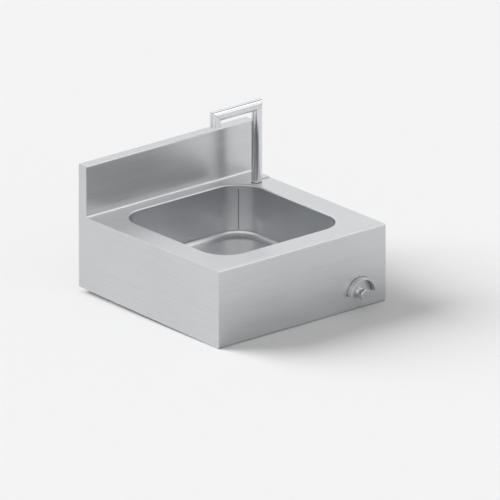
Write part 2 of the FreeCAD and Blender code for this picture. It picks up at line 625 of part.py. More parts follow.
def valve_body():
    """Brass body: neck through the apron, gland, outlet chamber and branch, seat, inlet chamber, nipple."""
    body = valve_axis(BARREL_RADIUS, SHOULDER, BARREL_END)
    body = body.fuse([
        valve_axis(NECK_RADIUS, -BEZEL_THICK, SHOULDER),
        outlet_axis(BRANCH_RADIUS, 0, BRANCH_OFFSET + BRANCH_RADIUS),
        branch_axis(FITTING_THREAD, 0, BRANCH_LENGTH),
        inlet_axis(INLET_RADIUS + INLET_COLLAR, 0, INLET_TOP),
        inlet_axis(INLET_RADIUS, 0, INLET_END),
    ]).removeSplitter()
    groove = STEM_RADIUS + RUNNING_GAP + 2 * STEM_SEAL_WIRE
    return body.cut([
        valve_axis(BUTTON_RADIUS + RUNNING_GAP, -BEZEL_THICK - OVERSHOOT, BORE_END),
        valve_axis(STEM_RADIUS + RUNNING_GAP, BORE_END - OVERSHOOT, GLAND_END + OVERSHOOT),
        valve_axis(groove, GLAND_MIDDLE - STEM_SEAL_WIRE, GLAND_MIDDLE + STEM_SEAL_WIRE),
        valve_axis(CHAMBER_RADIUS, GLAND_END, CHAMBER_END),
        valve_axis(SEAT_RADIUS, CHAMBER_END - OVERSHOOT, SEAT_FACE + OVERSHOOT),
        valve_axis(REAR_BORE, SEAT_FACE, BARREL_END + OVERSHOOT),
        outlet_axis(OUTLET_BORE, 0, BRANCH_OFFSET),
        branch_axis(OUTLET_BORE, 0, BRANCH_LENGTH + OVERSHOOT),
        branch_axis(TUBE_RADIUS + THREAD_GAP, BRANCH_LENGTH - TUBE_SOCKET, BRANCH_LENGTH + OVERSHOOT),
        inlet_axis(INLET_BORE, 0, INLET_END + OVERSHOOT),
    ])


def panel_gasket():
    """Rubber ring between the apron and the valve's shoulder."""
    return ring(valve_axis, BARREL_RADIUS - HOLE_GAP, NECK_RADIUS + HOLE_GAP, SHEET, SHOULDER)


def bezel_nut():
    """Round nut on the neck outside the apron, with four spanner slots."""
    outer = BEZEL_BORE + BEZEL_WALL
    nut = ring(valve_axis, outer, BEZEL_BORE, -BEZEL_THICK, 0)
    low = V(-BEZEL_SLOT_WIDTH / 2, -BEZEL_THICK - OVERSHOOT, 0)
    slot = block(low, V(BEZEL_SLOT_WIDTH / 2, BEZEL_SLOT_DEPTH - BEZEL_THICK, outer + OVERSHOOT))
    slots = []
    for angle in (45, 135, 225, 315):
        turned = slot.copy()
        turned.rotate(V(), INWARD, angle)
        turned.translate(VALVE_FACE)
        slots.append(turned)
    return nut.cut(slots)


def push_button():
    """Hollow cap that the knee pushes, guided in the neck, with a hub for the stem."""
    button = valve_axis(BUTTON_RADIUS, -BUTTON_PROUD, BUTTON_GUIDED)
    front = min(button.Faces, key=lambda face: face.CenterOfMass.y)
    button = button.makeFillet(BUTTON_ROUND, front.Edges)
    end = BUTTON_GUIDED + OVERSHOOT
    hollow = ring(valve_axis, BUTTON_RADIUS - BUTTON_WALL, STEM_RADIUS + BUTTON_WALL, BUTTON_HOLLOW, end)
    return button.cut([hollow, valve_axis(STEM_RADIUS + THREAD_GAP, BUTTON_HOLLOW, end)])


def plunger_stem():
    """Rod from the button through the gland and the seat to the poppet, riveted over behind it."""
    stem = valve_axis(STEM_RADIUS, BUTTON_HOLLOW, POPPET_BACK)
    return stem.fuse(valve_axis(RIVET_RADIUS, POPPET_BACK, POPPET_BACK + RIVET_THICK)).removeSplitter()


def stem_seal():
    """O-ring in the gland."""
    centre = VALVE_FACE + INWARD * GLAND_MIDDLE
    return Part.makeTorus(STEM_RADIUS + RUNNING_GAP + STEM_SEAL_WIRE, STEM_SEAL_WIRE, centre, INWARD)


def valve_poppet():
    """Brass disc behind the seal."""
    return ring(valve_axis, POPPET_RADIUS, STEM_RADIUS + THREAD_GAP, POPPET_FACE, POPPET_BACK)


def poppet_seal():
    """Rubber disc that closes on the seat."""
    return ring(valve_axis, POPPET_RADIUS, STEM_RADIUS + THREAD_GAP, SEAL_FACE, POPPET_FACE)


def biarc(start, start_way, end, end_way):
    """Two arcs that join two points and leave and arrive along the given directions."""
    span = end - start
    a = 2 * (1 - start_way.dot(end_way))
    b = 2 * span.dot(start_way + end_way)
    handle = (math.sqrt(b * b + 4 * a * span.dot(span)) - b) / (2 * a)
    first, second = start + start_way * handle, end - end_way * handle
    joint = (first + second) * 0.5
    edges = []
    for p, q, control in ((start, joint, first), (joint, end, second)):
        chord_middle = (p + q) * 0.5
        lean = (control - p).getAngle(q - p)
        sagitta = (q - p).Length / 2 * math.tan(lean / 2)
        middle = chord_middle + (control - chord_middle).normalize() * sagitta
        edges.append(Part.Arc(p, middle, q).toShape())
    return edges


def return_spring():
    """Coil spring between the poppet and the rear cap, one unbroken round wire."""
    first = POPPET_BACK + SPRING_WIRE + SEAT_GAP
    pitch = (SPRING_LENGTH - 2 * (SPRING_WIRE + SEAT_GAP)) / SPRING_TURNS

    def place(quarters):
        angle = quarters * math.pi / 2
        across = V(math.cos(angle), 0, math.sin(angle)) * SPRING_RADIUS
        return VALVE_FACE + across + INWARD * (first + pitch * quarters / 4)

    def way(quarters):
        angle = quarters * math.pi / 2
        around = V(-math.sin(angle), 0, math.cos(angle)) * (2 * math.pi * SPRING_RADIUS)
        return (around + INWARD * pitch).normalize()

    quarters = range(4 * SPRING_TURNS)
    edges = []
    for k in quarters:
        edges += biarc(place(k), way(k), place(k + 1), way(k + 1))
    sweep = Part.BRepOffsetAPI.MakePipeShell(Part.Wire(edges))
    sweep.add(Part.Wire(Part.makeCircle(SPRING_WIRE, place(0), way(0))))
    sweep.build()
    sweep.makeSolid()
    gap = min((place(k + 4) - place(k)).Length for k in quarters[:-3]) - 2 * SPRING_WIRE
    print("spring: least gap between turns", round(gap, 2))
    return sweep.shape()


def rear_cap():
    """Screwed plug that closes the body and carries the spring."""
    plug = valve_axis(REAR_BORE - THREAD_GAP, SPRING_END, CAP_START)
    collar = valve_axis(BARREL_RADIUS, CAP_START, CAP_START + CAP_COLLAR)
    flats = 2 * (BARREL_RADIUS - CAP_LEDGE)
    head = hexagon(flats, CAP_START, CAP_START + CAP_HEAD, VALVE_FACE, INWARD)
    return plug.fuse([collar, head]).removeSplitter()


def rear_cap_seal():
    """Fibre ring under the rear cap."""
    return ring(valve_axis, BARREL_RADIUS, REAR_BORE + HOLE_GAP, BARREL_END, CAP_START)


def inlet_filter():
    """Perforated disc in the mouth of the inlet."""
    end = INLET_END - FILTER_SETBACK
    disc = inlet_axis(INLET_BORE - THREAD_GAP, end - FILTER_THICK, end)
    return drilled(disc, INLET_BASE, FILTER_PITCH, FILTER_HOLE_RADIUS, -end, FILTER_THICK - end)


# Pipework

def compression_nut(base, direction):
    """Nut over a fitting's threaded end at base, closing on the tube that leaves along direction."""
    axis = coaxial(base, direction)
    nut = hexagon(FITTING_FLATS, -FITTING_GRIP, OLIVE_ROOM + NUT_END, base, direction)
    return nut.cut([
        axis(FITTING_THREAD + THREAD_GAP, -FITTING_GRIP - OVERSHOOT, OLIVE_ROOM),
        axis(TUBE_RADIUS + HOLE_GAP, OLIVE_ROOM - OVERSHOOT, OLIVE_ROOM + NUT_END + OVERSHOOT),
    ])


def olive(base, direction):
    """Brass ring squeezed on the tube between the fitting and its nut, coned at both ends."""
    outer = TUBE_RADIUS + OLIVE_WALL
    tip = TUBE_RADIUS + OLIVE_WALL / 2
    start = base + direction * SEAT_GAP
    end = start + direction * OLIVE_LENGTH
    straight = OLIVE_LENGTH - 2 * OLIVE_TAPER
    body = Part.makeCylinder(outer, straight, start + direction * OLIVE_TAPER, direction).fuse([
        Part.makeCone(tip, outer, OLIVE_TAPER, start, direction),
        Part.makeCone(tip, outer, OLIVE_TAPER, end, direction * -1),
    ]).removeSplitter()
    return body.cut(coaxial(base, direction)(TUBE_RADIUS + THREAD_GAP, -OVERSHOOT, OLIVE_LENGTH + OVERSHOOT))


def supply_tube():
    """Tube from the valve's outlet straight towards the wall, then bent up into the spout's tail."""
    start = OUTLET_MOUTH - INWARD * TUBE_SOCKET
    end = TAIL_MOUTH + UP * TUBE_SOCKET
    corner = V(start.x, end.y, start.z)
    bend_start, bend_end = corner - INWARD * TUBE_BEND, corner + UP * TUBE_BEND
    bend_middle = corner + (UP - INWARD) * (TUBE_BEND * (1 - math.sqrt(0.5)))
    path = Part.Wire([
        Part.LineSegment(start, bend_start).toShape(),
        Part.Arc(bend_start, bend_middle, bend_end).toShape(),
        Part.LineSegment(bend_end, end).toShape(),
    ])
    skins = []
    for radius in (TUBE_RADIUS, TUBE_RADIUS - TUBE_WALL):
        circle = Part.Wire(Part.makeCircle(radius, start, INWARD))
        skins.append(path.makePipeShell([circle], True, False))
    return skins[0].cut(skins[1])


# Spout

def mitred_tube(start, end, start_cut, end_cut):
    """Tube between two points, cut at each end by the plane through it with the given outward normal."""
    spare = 2 * SPOUT_RADIUS
    run = (end - start).Length
    tube = ring(coaxial(start, (end - start).normalize()), SPOUT_RADIUS, SPOUT_BORE, -spare, run + spare)
    size = 4 * spare
    for point, normal in ((start, start_cut), (end, end_cut)):
        beyond = Part.makeBox(size, size, size, V(-size / 2, -size / 2, 0))
        tube = tube.cut(placed(beyond, point, normal))
    return tube


def spout_riser():
    """Upright tube over the shank's spigot, drilled at the back for the set screw."""
    riser = mitred_tube(SPOUT_FOOT + UP * RISER_LOW, ARM_CORNER, DOWN, UP + LEFT)
    return riser.cut(stop_axis(SET_SCREW_RADIUS + THREAD_GAP, 0, SPOUT_RADIUS + OVERSHOOT))


def spout_arm():
    """Level tube, mitred to the riser and to the outlet."""
    return mitred_tube(ARM_CORNER, ARM_END, DOWN + RIGHT, LEFT + DOWN)


def spout_outlet():
    """Short tube turned down over the bowl."""
    return mitred_tube(ARM_END, SPOUT_MOUTH, RIGHT + UP, DOWN)


def riser_set_screw():
    """Socket screw in the riser's back, whose tip runs in the shank's groove and stops the swivel."""
    screw = stop_axis(SET_SCREW_RADIUS, SPIGOT_RADIUS - SET_SCREW_BITE, SPOUT_RADIUS)
    socket_low = SPOUT_RADIUS - SET_SCREW_SOCKET_DEPTH
    base = SPOUT_FOOT + UP * STOP_HEIGHT
    return screw.cut(hexagon(SET_SCREW_SOCKET_FLATS, socket_low, SPOUT_RADIUS + OVERSHOOT, base, INWARD))


def stop_groove():
    """Part ring cut from the spigot, as long as the set screw's tip travels."""
    half = SET_SCREW_RADIUS + HOLE_GAP
    bottom = SPIGOT_RADIUS - STOP_GROOVE_DEPTH
    spread = math.degrees(math.asin(half / bottom))
    base = SPOUT_FOOT + UP * (STOP_HEIGHT - half)
    sweep = SWIVEL_BACK + SWIVEL_FRONT + 2 * spread
    sector = Part.makeCylinder(SPIGOT_RADIUS + OVERSHOOT, 2 * half, base, UP, sweep)
    sector.rotate(base, UP, 90 - SWIVEL_BACK - spread)
    return sector.cut(Part.makeCylinder(bottom, 2 * half, base, UP))


def swivel_shank():
    """Hollow brass shank: spigot inside the riser, collar on the deck and threaded tail through it."""
    tail_shoulder = SHANK_LOW + FITTING_GRIP
    shank = spout_axis(SPIGOT_RADIUS, COLLAR_LOW, SPIGOT_TOP).fuse([
        spout_axis(SPOUT_RADIUS, COLLAR_LOW, COLLAR_TOP),
        spout_axis(SHANK_THREAD, tail_shoulder, COLLAR_LOW),
        spout_axis(FITTING_THREAD, SHANK_LOW, tail_shoulder),
    ]).removeSplitter()
    cuts = [
        spout_axis(SHANK_BORE, SHANK_LOW - OVERSHOOT, SPIGOT_TOP + OVERSHOOT),
        spout_axis(TUBE_RADIUS + THREAD_GAP, SHANK_LOW - OVERSHOOT, SHANK_LOW + TUBE_SOCKET),
        stop_groove(),
    ]
    outer, bottom = SPIGOT_RADIUS + OVERSHOOT, SPIGOT_RADIUS - 2 * ORING_WIRE
    for level in ORING_LEVELS:
        cuts.append(ring(spout_axis, outer, bottom, level - ORING_WIRE, level + ORING_WIRE))
    return shank.cut(cuts)


def shank_orings():
    """The two O-rings between the spigot and the riser."""
    rings = []
    for level in ORING_LEVELS:
        rings.append(Part.makeTorus(SPIGOT_RADIUS - ORING_WIRE, ORING_WIRE, SPOUT_FOOT + UP * level, UP))
    return Part.makeCompound(rings)


def thrust_washer():
    """Slippery ring that the riser turns on."""
    return ring(spout_axis, SPOUT_RADIUS, SPIGOT_RADIUS + RUNNING_GAP, COLLAR_TOP, COLLAR_TOP + THRUST_THICK)


def deck_seal():
    """Rubber ring under the shank's collar."""
    return ring(spout_axis, SPOUT_RADIUS, SHANK_THREAD + HOLE_GAP, 0, COLLAR_LOW)


def backing_washer():
    """Steel washer under the deck."""
    return ring(spout_axis, SHANK_THREAD + BACKING_LEDGE, SHANK_THREAD + HOLE_GAP, LOCKNUT_TOP, -SHEET)


def shank_locknut():
    """Nut that clamps the shank to the deck."""
    bore = SHANK_THREAD + THREAD_GAP
    nut = hexagon(2 * (bore + LOCKNUT_WALL), LOCKNUT_LOW, LOCKNUT_TOP, SPOUT_FOOT, UP)
    return nut.cut(spout_axis(bore, LOCKNUT_LOW - OVERSHOOT, LOCKNUT_TOP + OVERSHOOT))


def aerator_housing():
    """Threaded ring inside the outlet's mouth, with a ledge under the screen."""
    outer = SPOUT_BORE - THREAD_GAP
    top = SPOUT_TIP - AERATOR_HEADROOM
    housing = ring(mouth_axis, outer, outer - 2 * AERATOR_WALL, AERATOR_SETBACK, top)
    return housing.cut(mouth_axis(outer - AERATOR_WALL, AERATOR_SETBACK + AERATOR_WALL, top + OVERSHOOT))


def aerator_screen():
    """Perforated disc that straightens the jet."""
    low = AERATOR_SETBACK + AERATOR_WALL
    disc = mouth_axis(SPOUT_BORE - 2 * THREAD_GAP - AERATOR_WALL, low, low + SCREEN_THICK)
    return drilled(disc, SPOUT_MOUTH, SCREEN_PITCH, SCREEN_HOLE_RADIUS, low, low + SCREEN_THICK)


PIECES = {
    "deck_panel": deck_panel,
    "backsplash": backsplash,
    "front_panel": front_panel,
    "left_side_panel": lambda: side_panel(-1),
    "right_side_panel": lambda: side_panel(1),
    "bowl": bowl,
    "rear_brace": rear_brace,
    "wall_rail": wall_rail,
    "knee_guard": knee_guard,
    "tap_corner_plate": tap_corner_plate,
    "waste_flange": waste_flange,
    "waste_grid": waste_grid,
    "grid_screw": grid_screw,
    "waste_top_seal": waste_top_seal,
    "waste_bottom_seal": waste_bottom_seal,
    "waste_backnut": waste_backnut,
    "valve_body": valve_body,
    "panel_gasket": panel_gasket,
    "bezel_nut": bezel_nut,
    "push_button": push_button,
    "plunger_stem": plunger_stem,
    "stem_seal": stem_seal,
    "valve_poppet": valve_poppet,
    "poppet_seal": poppet_seal,
    "return_spring": return_spring,
    "rear_cap": rear_cap,
    "rear_cap_seal": rear_cap_seal,
    "inlet_filter": inlet_filter,
    "outlet_nut": lambda: compression_nut(OUTLET_MOUTH, INWARD),
    "outlet_olive": lambda: olive(OUTLET_MOUTH, INWARD),
    "supply_tube": supply_tube,
    "tail_nut": lambda: compression_nut(TAIL_MOUTH, DOWN),
    "tail_olive": lambda: olive(TAIL_MOUTH, DOWN),
    "spout_riser": spout_riser,
    "spout_arm": spout_arm,
    "spout_outlet": spout_outlet,
    "aerator_housing": aerator_housing,
    "aerator_screen": aerator_screen,
    "riser_set_screw": riser_set_screw,
    "swivel_shank": swivel_shank,
    "shank_orings": shank_orings,
    "thrust_washer": thrust_washer,
    "deck_seal": deck_seal,
    "backing_washer": backing_washer,
    "shank_locknut": shank_locknut,
}

os.makedirs("parts", exist_ok=True)
for name, make in PIECES.items():
    shape = make()
    print(name, "solids", len(shape.Solids), "valid", shape.isValid(), "volume", round(shape.Volume, 1))
    shape.exportStep(os.path.join("parts", name + ".step"))
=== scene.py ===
import json
import math

import bpy
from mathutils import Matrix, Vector


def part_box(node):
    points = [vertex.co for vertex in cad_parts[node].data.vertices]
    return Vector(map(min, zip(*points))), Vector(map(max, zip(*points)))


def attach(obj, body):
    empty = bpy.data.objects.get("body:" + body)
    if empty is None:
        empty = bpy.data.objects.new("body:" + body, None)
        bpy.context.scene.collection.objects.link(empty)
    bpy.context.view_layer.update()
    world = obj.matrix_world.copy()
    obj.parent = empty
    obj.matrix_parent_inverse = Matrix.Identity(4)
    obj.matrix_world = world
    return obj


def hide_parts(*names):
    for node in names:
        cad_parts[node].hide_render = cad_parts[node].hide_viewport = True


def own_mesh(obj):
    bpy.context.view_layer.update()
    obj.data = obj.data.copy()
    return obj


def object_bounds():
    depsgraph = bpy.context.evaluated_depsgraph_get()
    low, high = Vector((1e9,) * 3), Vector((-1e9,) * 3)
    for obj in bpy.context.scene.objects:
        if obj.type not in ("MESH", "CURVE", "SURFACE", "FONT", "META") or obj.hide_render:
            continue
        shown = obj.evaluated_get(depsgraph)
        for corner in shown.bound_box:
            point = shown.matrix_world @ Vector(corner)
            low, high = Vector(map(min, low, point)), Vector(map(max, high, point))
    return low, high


# Looks of the wall-hung sink: brushed sheet steel, polished spout and button, brass and copper below.
# Metres, in the frame of the solids: +X is the user's right, +Y points into the wall and +Z up.

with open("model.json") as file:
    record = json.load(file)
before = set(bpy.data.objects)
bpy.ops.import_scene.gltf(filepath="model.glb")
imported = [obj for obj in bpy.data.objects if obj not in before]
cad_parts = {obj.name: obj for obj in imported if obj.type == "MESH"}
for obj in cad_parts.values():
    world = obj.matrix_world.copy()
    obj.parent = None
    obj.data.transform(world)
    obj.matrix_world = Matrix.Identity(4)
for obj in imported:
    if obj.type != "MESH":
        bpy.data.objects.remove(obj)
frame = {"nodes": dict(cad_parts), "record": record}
CAD_LOW, CAD_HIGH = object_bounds()
NODES = frame["nodes"]
APRON_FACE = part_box("front_panel")[0].y
MM_PER_METRE = 1000

# Camera: a nearly parallel view from the front left and above
PHOTO_SIZE = 500  # pixels each way
PIXELS_PER_METRE = 548.78  # at the front left corner of the deck
CORNER_PIXEL = (218.52, 272.02)  # that corner in the picture
AZIMUTH = math.radians(-40.03)
ELEVATION = math.radians(20.06)
LENS = 1500.0  # mm
FAR_CLIP = 100.0

# Floor
FLOOR_GAP = 0.0003
FLOOR_SIZE = 40.0
FLOOR_COLOUR = (0.92, 0.92, 0.92, 1)
FLOOR_ROUGHNESS = 0.9
FLOOR_SPECULAR = 0.1

# Light
WHITE = (1, 1, 1, 1)
AMBIENT = 0.45  # the surroundings as a light
GROUND = 0.90  # how bright they show below the horizon, where white is 1
HORIZON = 0.80  # how bright they show just above it
RING = 1.35  # how bright they show in a ring higher up
CEILING = 0.38  # how bright they show overhead
HORIZON_SINES = (-0.02, 0.02)  # sines of the heights between which the ground turns into the horizon
RING_SINES = (0.28, 0.44)  # the horizon into the ring
COVE_SINES = (0.54, 0.80)  # the ring into the ceiling
GLOWS = (  # directions and strengths of two soft lights that show in the metal's rounded edges
    (Vector((-0.22, 0.71, 0.66)), 0.9),
    (Vector((0.60, -0.15, 0.77)), 1.4),
)
GLOW_COSINES = [math.cos(math.radians(angle)) for angle in (16, 9)]  # at a glow's rim and its full part
SUN_STRENGTH = 3.05
SUN_SPREAD = math.radians(45)
SUN_FROM = Vector((-0.46, 0.70, 0.55))

# Bowl
BOWL_DEPTH = 0.100
BOWL_CORNER = 0.055
BOWL_RIM = 0.007  # rim outside the bowl's walls
FLOOR_ROUND = 0.012  # between the walls and the bowl's floor

# Threads
RIDGE_RADIUS = 0.0006
RIDGE_PROUD = 0.00025
WASTE_PITCH = 0.002309
INLET_PITCH = 0.001814
SHANK_PITCH = 0.0015
SHANK_LEDGE = 0.006  # backing washer outside the shank's thread
THREAD_MARGIN = 0.0012  # plain end of a thread
TURN_STEPS = 32

# Weld beads
BEAD_STEPS = 3  # points that round off a quarter of a bead
GUARD_WALL = 0.0045
GUARD_BEAD = 0.0014
GUARD_STEPS = 40  # steps round the outer arc
GUARD_END_ANGLES = [math.radians(angle) for angle in (225, 270, 315)]  # round an end of the guard
MITRE_BEAD = 0.00045
MITRE_STEPS = 64
SEAM_BEAD = 0.0018
SEAM_PROUD = 0.0004  # weld bead in the bowl's corner, ground down inside; its dark colour is painted shade along the rounded corner
SEAM_ANGLE = math.radians(50)  # from the user's right, round the bowl's back right corner
SEAM_BELOW_RIM = 0.0094
SEAM_STEPS = 60
RIPPLE = 0.14  # share of a bead's radius
SEAM_RIPPLE = RIPPLE / 4
RIPPLE_PITCH = 4  # points from one ripple to the next

# Finishes: colours are dark and light, marks and clouds are features a metre, relief is a depth
NOISE_MIDDLE = (0.3, 0.7)  # the part of a noise's range that its values fill
NOISE_DETAIL = 3.0

# Brushed sheet
STEEL_COLOURS = ((0.57, 0.58, 0.59), (0.70, 0.71, 0.72))
SHEET_ROUGHNESS = (0.26, 0.40)
SHEET_FINE = 1500.0  # fine streaks across the brushing
SHEET_FINE_ALONG = 14.0
SHEET_COARSE = 260.0
SHEET_COARSE_ALONG = 4.0
SHEET_CLOUDS = 6.0
SHEET_RELIEF = 0.00004
BRUSH_STRETCH = 0.5  # of the highlights
BRUSH_TURN = 0.25  # of a full turn

# Pressed bowl
BOWL_ROUGHNESS = (0.26, 0.36)
BOWL_MARKS = 1800.0  # across the marks
BOWL_MARKS_ALONG = 12.0
BOWL_CLOUDS = 9.0
BOWL_RELIEF = 0.000004

# Chrome
CHROME_COLOURS = ((0.66, 0.67, 0.69), (0.73, 0.74, 0.76))
CHROME_ROUGHNESS = (0.06, 0.13)
CHROME_MARK_ROUGHNESS = (0.06, 0.16)
CHROME_CLOUDS = (40.0, 40.0, 25.0)
WIPING_MARKS = (900.0, 900.0, 60.0)
TURNING_RINGS = 2500.0
CHROME_RELIEF = 0.000006
PLATED_DEPTH = 0.0003  # plating on the valve, just behind the apron's face

# Bare metals
BRASS_COLOURS = ((0.60, 0.42, 0.18), (0.80, 0.60, 0.29))
BRASS_ROUGHNESS = (0.22, 0.40)
COPPER_COLOURS = ((0.56, 0.28, 0.17), (0.82, 0.46, 0.31))
COPPER_ROUGHNESS = (0.22, 0.42)
DRAWN_COLOURS = ((0.46, 0.47, 0.49), (0.66, 0.67, 0.69))
DRAWN_ROUGHNESS = (0.24, 0.40)
TARNISH_CLOUDS = 70.0
TARNISH_DETAIL = 5.0
TOOL_MARKS = 1200.0
TOOL_RELIEF = 0.00002

# Zinc coat
ZINC_COLOURS = ((0.58, 0.60, 0.62), (0.66, 0.68, 0.70))
ZINC_ROUGHNESS = (0.38, 0.50)
ZINC_SPANGLE = 140.0
ZINC_GRAIN = 500.0

# Rubber and plastic
RUBBER_COLOURS = ((0.020, 0.020, 0.021), (0.050, 0.050, 0.052))
RUBBER_ROUGHNESS = (0.62, 0.85)
PLASTIC_COLOURS = ((0.78, 0.78, 0.76), (0.86, 0.86, 0.84))
PLASTIC_ROUGHNESS = (0.40, 0.55)
MOULD_GRAIN = 1500.0
MOULD_CLOUDS = 90.0
MOULD_RELIEF = 0.00003

# Weld metal, whose dark on the bowl's corner seam is painted shade
WELD_AND_SHADE_COLOURS = ((0.24, 0.225, 0.21), (0.38, 0.365, 0.35))
WELD_ROUGHNESS = (0.30, 0.45)
WELD_CLOUDS = 160.0
WELD_GRAIN = 2500.0
WELD_RELIEF = 0.00003


# Node trees

def add_node(tree, kind, inputs=(), **settings):
    """A new node; each input is a number, a colour or another node's output."""
    node = tree.nodes.new(kind)
    for key, value in settings.items():
        setattr(node, key, value)
    for key, value in dict(inputs).items():
        if isinstance(value, bpy.types.NodeSocket):
            tree.links.new(value, node.inputs[key])
        else:
            node.inputs[key].default_value = value
    return node


def even(number):
    """The same number for every axis."""
    return [number] * 3


def apart(number, own, axis):
    """The same number for every axis but one, which has its own."""
    return [own if name == axis else number for name in "XYZ"]


class Finish:
    """A material made of nodes, with short ways to add them."""

    def __init__(self, name):
        self.material = bpy.data.materials.new(name)
        self.material.use_nodes = True
        self.tree = self.material.node_tree
        self.surface = self.tree.nodes["Principled BSDF"]
        self.place = self.add("ShaderNodeTexCoord").outputs["Object"]

    def add(self, kind, inputs=(), **settings):
        """A new node in this material."""
        return add_node(self.tree, kind, inputs, **settings)

    def scaled(self, scale):
        """Places counted in features, with that many a metre along each axis."""
        return self.add("ShaderNodeMapping", {"Vector": self.place, "Scale": scale}).outputs[0]

    def noise(self, scale, detail=NOISE_DETAIL):
        """Clouded noise with that many features a metre along each axis."""
        inputs = {"Vector": self.scaled(scale), "Scale": 1.0, "Detail": detail}
        return self.add("ShaderNodeTexNoise", inputs).outputs["Fac"]

    def rings(self, centre, axis, fine):
        """Fine uneven rings around an axis, as a lathe leaves them."""
        away = apart(1.0, 0.0, axis)
        offset = self.add("ShaderNodeVectorMath", {0: self.place, 1: centre}, operation="SUBTRACT")
        flat = self.add("ShaderNodeVectorMath", {0: offset.outputs[0], 1: away}, operation="MULTIPLY")
        reach = self.add("ShaderNodeVectorMath", {0: flat.outputs[0]}, operation="LENGTH")
        inputs = {"W": reach.outputs["Value"], "Scale": fine}
        return self.add("ShaderNodeTexNoise", inputs, noise_dimensions="1D").outputs["Fac"]

    def past(self, axis, limit):
        """One where the surface lies past a limit on an axis, and nought before it."""
        along = self.add("ShaderNodeSeparateXYZ", {0: self.place}).outputs[axis]
        return self.add("ShaderNodeMath", {0: along, 1: limit}, operation="GREATER_THAN").outputs[0]

    def spread(self, value, ends):
        """The middle of a noise's range, stretched to run from one end to the other."""
        inputs = {
            "Value": value,
            "From Min": NOISE_MIDDLE[0],
            "From Max": NOISE_MIDDLE[1],
            "To Min": ends[0],
            "To Max": ends[1],
        }
        return self.add("ShaderNodeMapRange", inputs).outputs["Result"]

    def mean(self, first, second, share):
        """Two values mixed, with that share of the second."""
        return self.add("ShaderNodeMix", {"Factor": share, "A": first, "B": second}).outputs["Result"]

    def colours(self, value, pair):
        """A dark and a light colour mixed by a noise."""
        ramp = self.add("ShaderNodeValToRGB", {"Fac": value})
        for stop, colour, place in zip(ramp.color_ramp.elements, pair, NOISE_MIDDLE):
            stop.color = (*colour, 1)
            stop.position = place
        return ramp.outputs["Color"]

    def patched(self, mask, first, second):
        """One colour where the mask is nought and another where it is one."""
        return self.add("ShaderNodeMix", {0: mask, 6: first, 7: second}, data_type="RGBA").outputs[2]

    def brush(self, along):
        """Stretches highlights across a brushing direction."""
        direction = self.add("ShaderNodeCombineXYZ", {along: 1.0}).outputs[0]
        self.tree.links.new(direction, self.surface.inputs["Tangent"])
        self.surface.inputs["Anisotropic"].default_value = BRUSH_STRETCH
        self.surface.inputs["Anisotropic Rotation"].default_value = BRUSH_TURN

    def finish(self, colour, roughness, height=None, relief=0.0, metallic=1.0):
        """Joins colour, roughness and relief to the surface."""
        self.tree.links.new(colour, self.surface.inputs["Base Color"])
        self.tree.links.new(roughness, self.surface.inputs["Roughness"])
        self.surface.inputs["Metallic"].default_value = metallic
        if height is not None:
            bump = self.add("ShaderNodeBump", {"Height": height, "Strength": 1.0, "Distance": relief})
            self.tree.links.new(bump.outputs["Normal"], self.surface.inputs["Normal"])
        return self.material


# Materials

def brushed_steel(name, along):
    """Satin stainless sheet with its brushing drawn out along one axis."""
    made = Finish(name)
    fine = made.noise(apart(SHEET_FINE, SHEET_FINE_ALONG, along))
    coarse = made.noise(apart(SHEET_COARSE, SHEET_COARSE_ALONG, along))
    streaks = made.mean(fine, coarse, share=0.4)
    clouds = made.noise(even(SHEET_CLOUDS))
    rough_streaks = made.spread(streaks, SHEET_ROUGHNESS)
    rough_clouds = made.spread(clouds, SHEET_ROUGHNESS)
    roughness = made.mean(rough_streaks, rough_clouds, share=0.35)
    colour = made.colours(made.mean(streaks, clouds, share=0.3), STEEL_COLOURS)
    made.brush(along)
    return made.finish(colour, roughness, streaks, SHEET_RELIEF)


def bowl_steel():
    """Bowl, with level marks round its walls and marks from side to side on its floor."""
    made = Finish("bowl_steel")
    normal = made.add("ShaderNodeTexCoord").outputs["Normal"]
    upright = made.add("ShaderNodeSeparateXYZ", {0: normal}).outputs["Z"]
    level = made.add("ShaderNodeMath", {0: upright}, operation="ABSOLUTE").outputs[0]
    walls = made.noise(apart(BOWL_MARKS_ALONG, BOWL_MARKS, "Z"))
    floor = made.noise(apart(BOWL_MARKS_ALONG, BOWL_MARKS, "Y"))
    streaks = made.mean(walls, floor, share=level)
    clouds = made.noise(even(BOWL_CLOUDS))
    rough_streaks = made.spread(streaks, BOWL_ROUGHNESS)
    rough_clouds = made.spread(clouds, BOWL_ROUGHNESS)
    roughness = made.mean(rough_streaks, rough_clouds, share=0.6)
    colour = made.colours(made.mean(streaks, clouds, share=0.7), STEEL_COLOURS)
    return made.finish(colour, roughness, streaks, BOWL_RELIEF)


def polished(name, centre=None, axis=None):
    """Polished chrome with faint wiping marks, or with turning rings where it has an axis."""
    made = Finish(name)
    clouds = made.noise(CHROME_CLOUDS)
    marks = made.rings(centre, axis, TURNING_RINGS) if axis else made.noise(WIPING_MARKS)
    rough_clouds = made.spread(clouds, CHROME_ROUGHNESS)
    rough_marks = made.spread(marks, CHROME_MARK_ROUGHNESS)
    roughness = made.mean(rough_clouds, rough_marks, share=0.5)
    return made.finish(made.colours(clouds, CHROME_COLOURS), roughness, marks, CHROME_RELIEF)


def tarnished(name, colours, limits, plated_to=None):
    """Bare metal with tool marks and uneven tarnish, chrome-plated in front of a limit where it has one."""
    made = Finish(name)
    clouds = made.noise(even(TARNISH_CLOUDS), TARNISH_DETAIL)
    marks = made.noise(even(TOOL_MARKS))
    colour = made.colours(clouds, colours)
    rough_clouds = made.spread(clouds, limits[::-1])
    roughness = made.mean(rough_clouds, made.spread(marks, limits), share=0.4)
    if plated_to is not None:
        bare = made.past("Y", plated_to)
        colour = made.patched(bare, made.colours(clouds, CHROME_COLOURS), colour)
        roughness = made.mean(made.spread(marks, CHROME_MARK_ROUGHNESS), roughness, share=bare)
    return made.finish(colour, roughness, marks, TOOL_RELIEF)


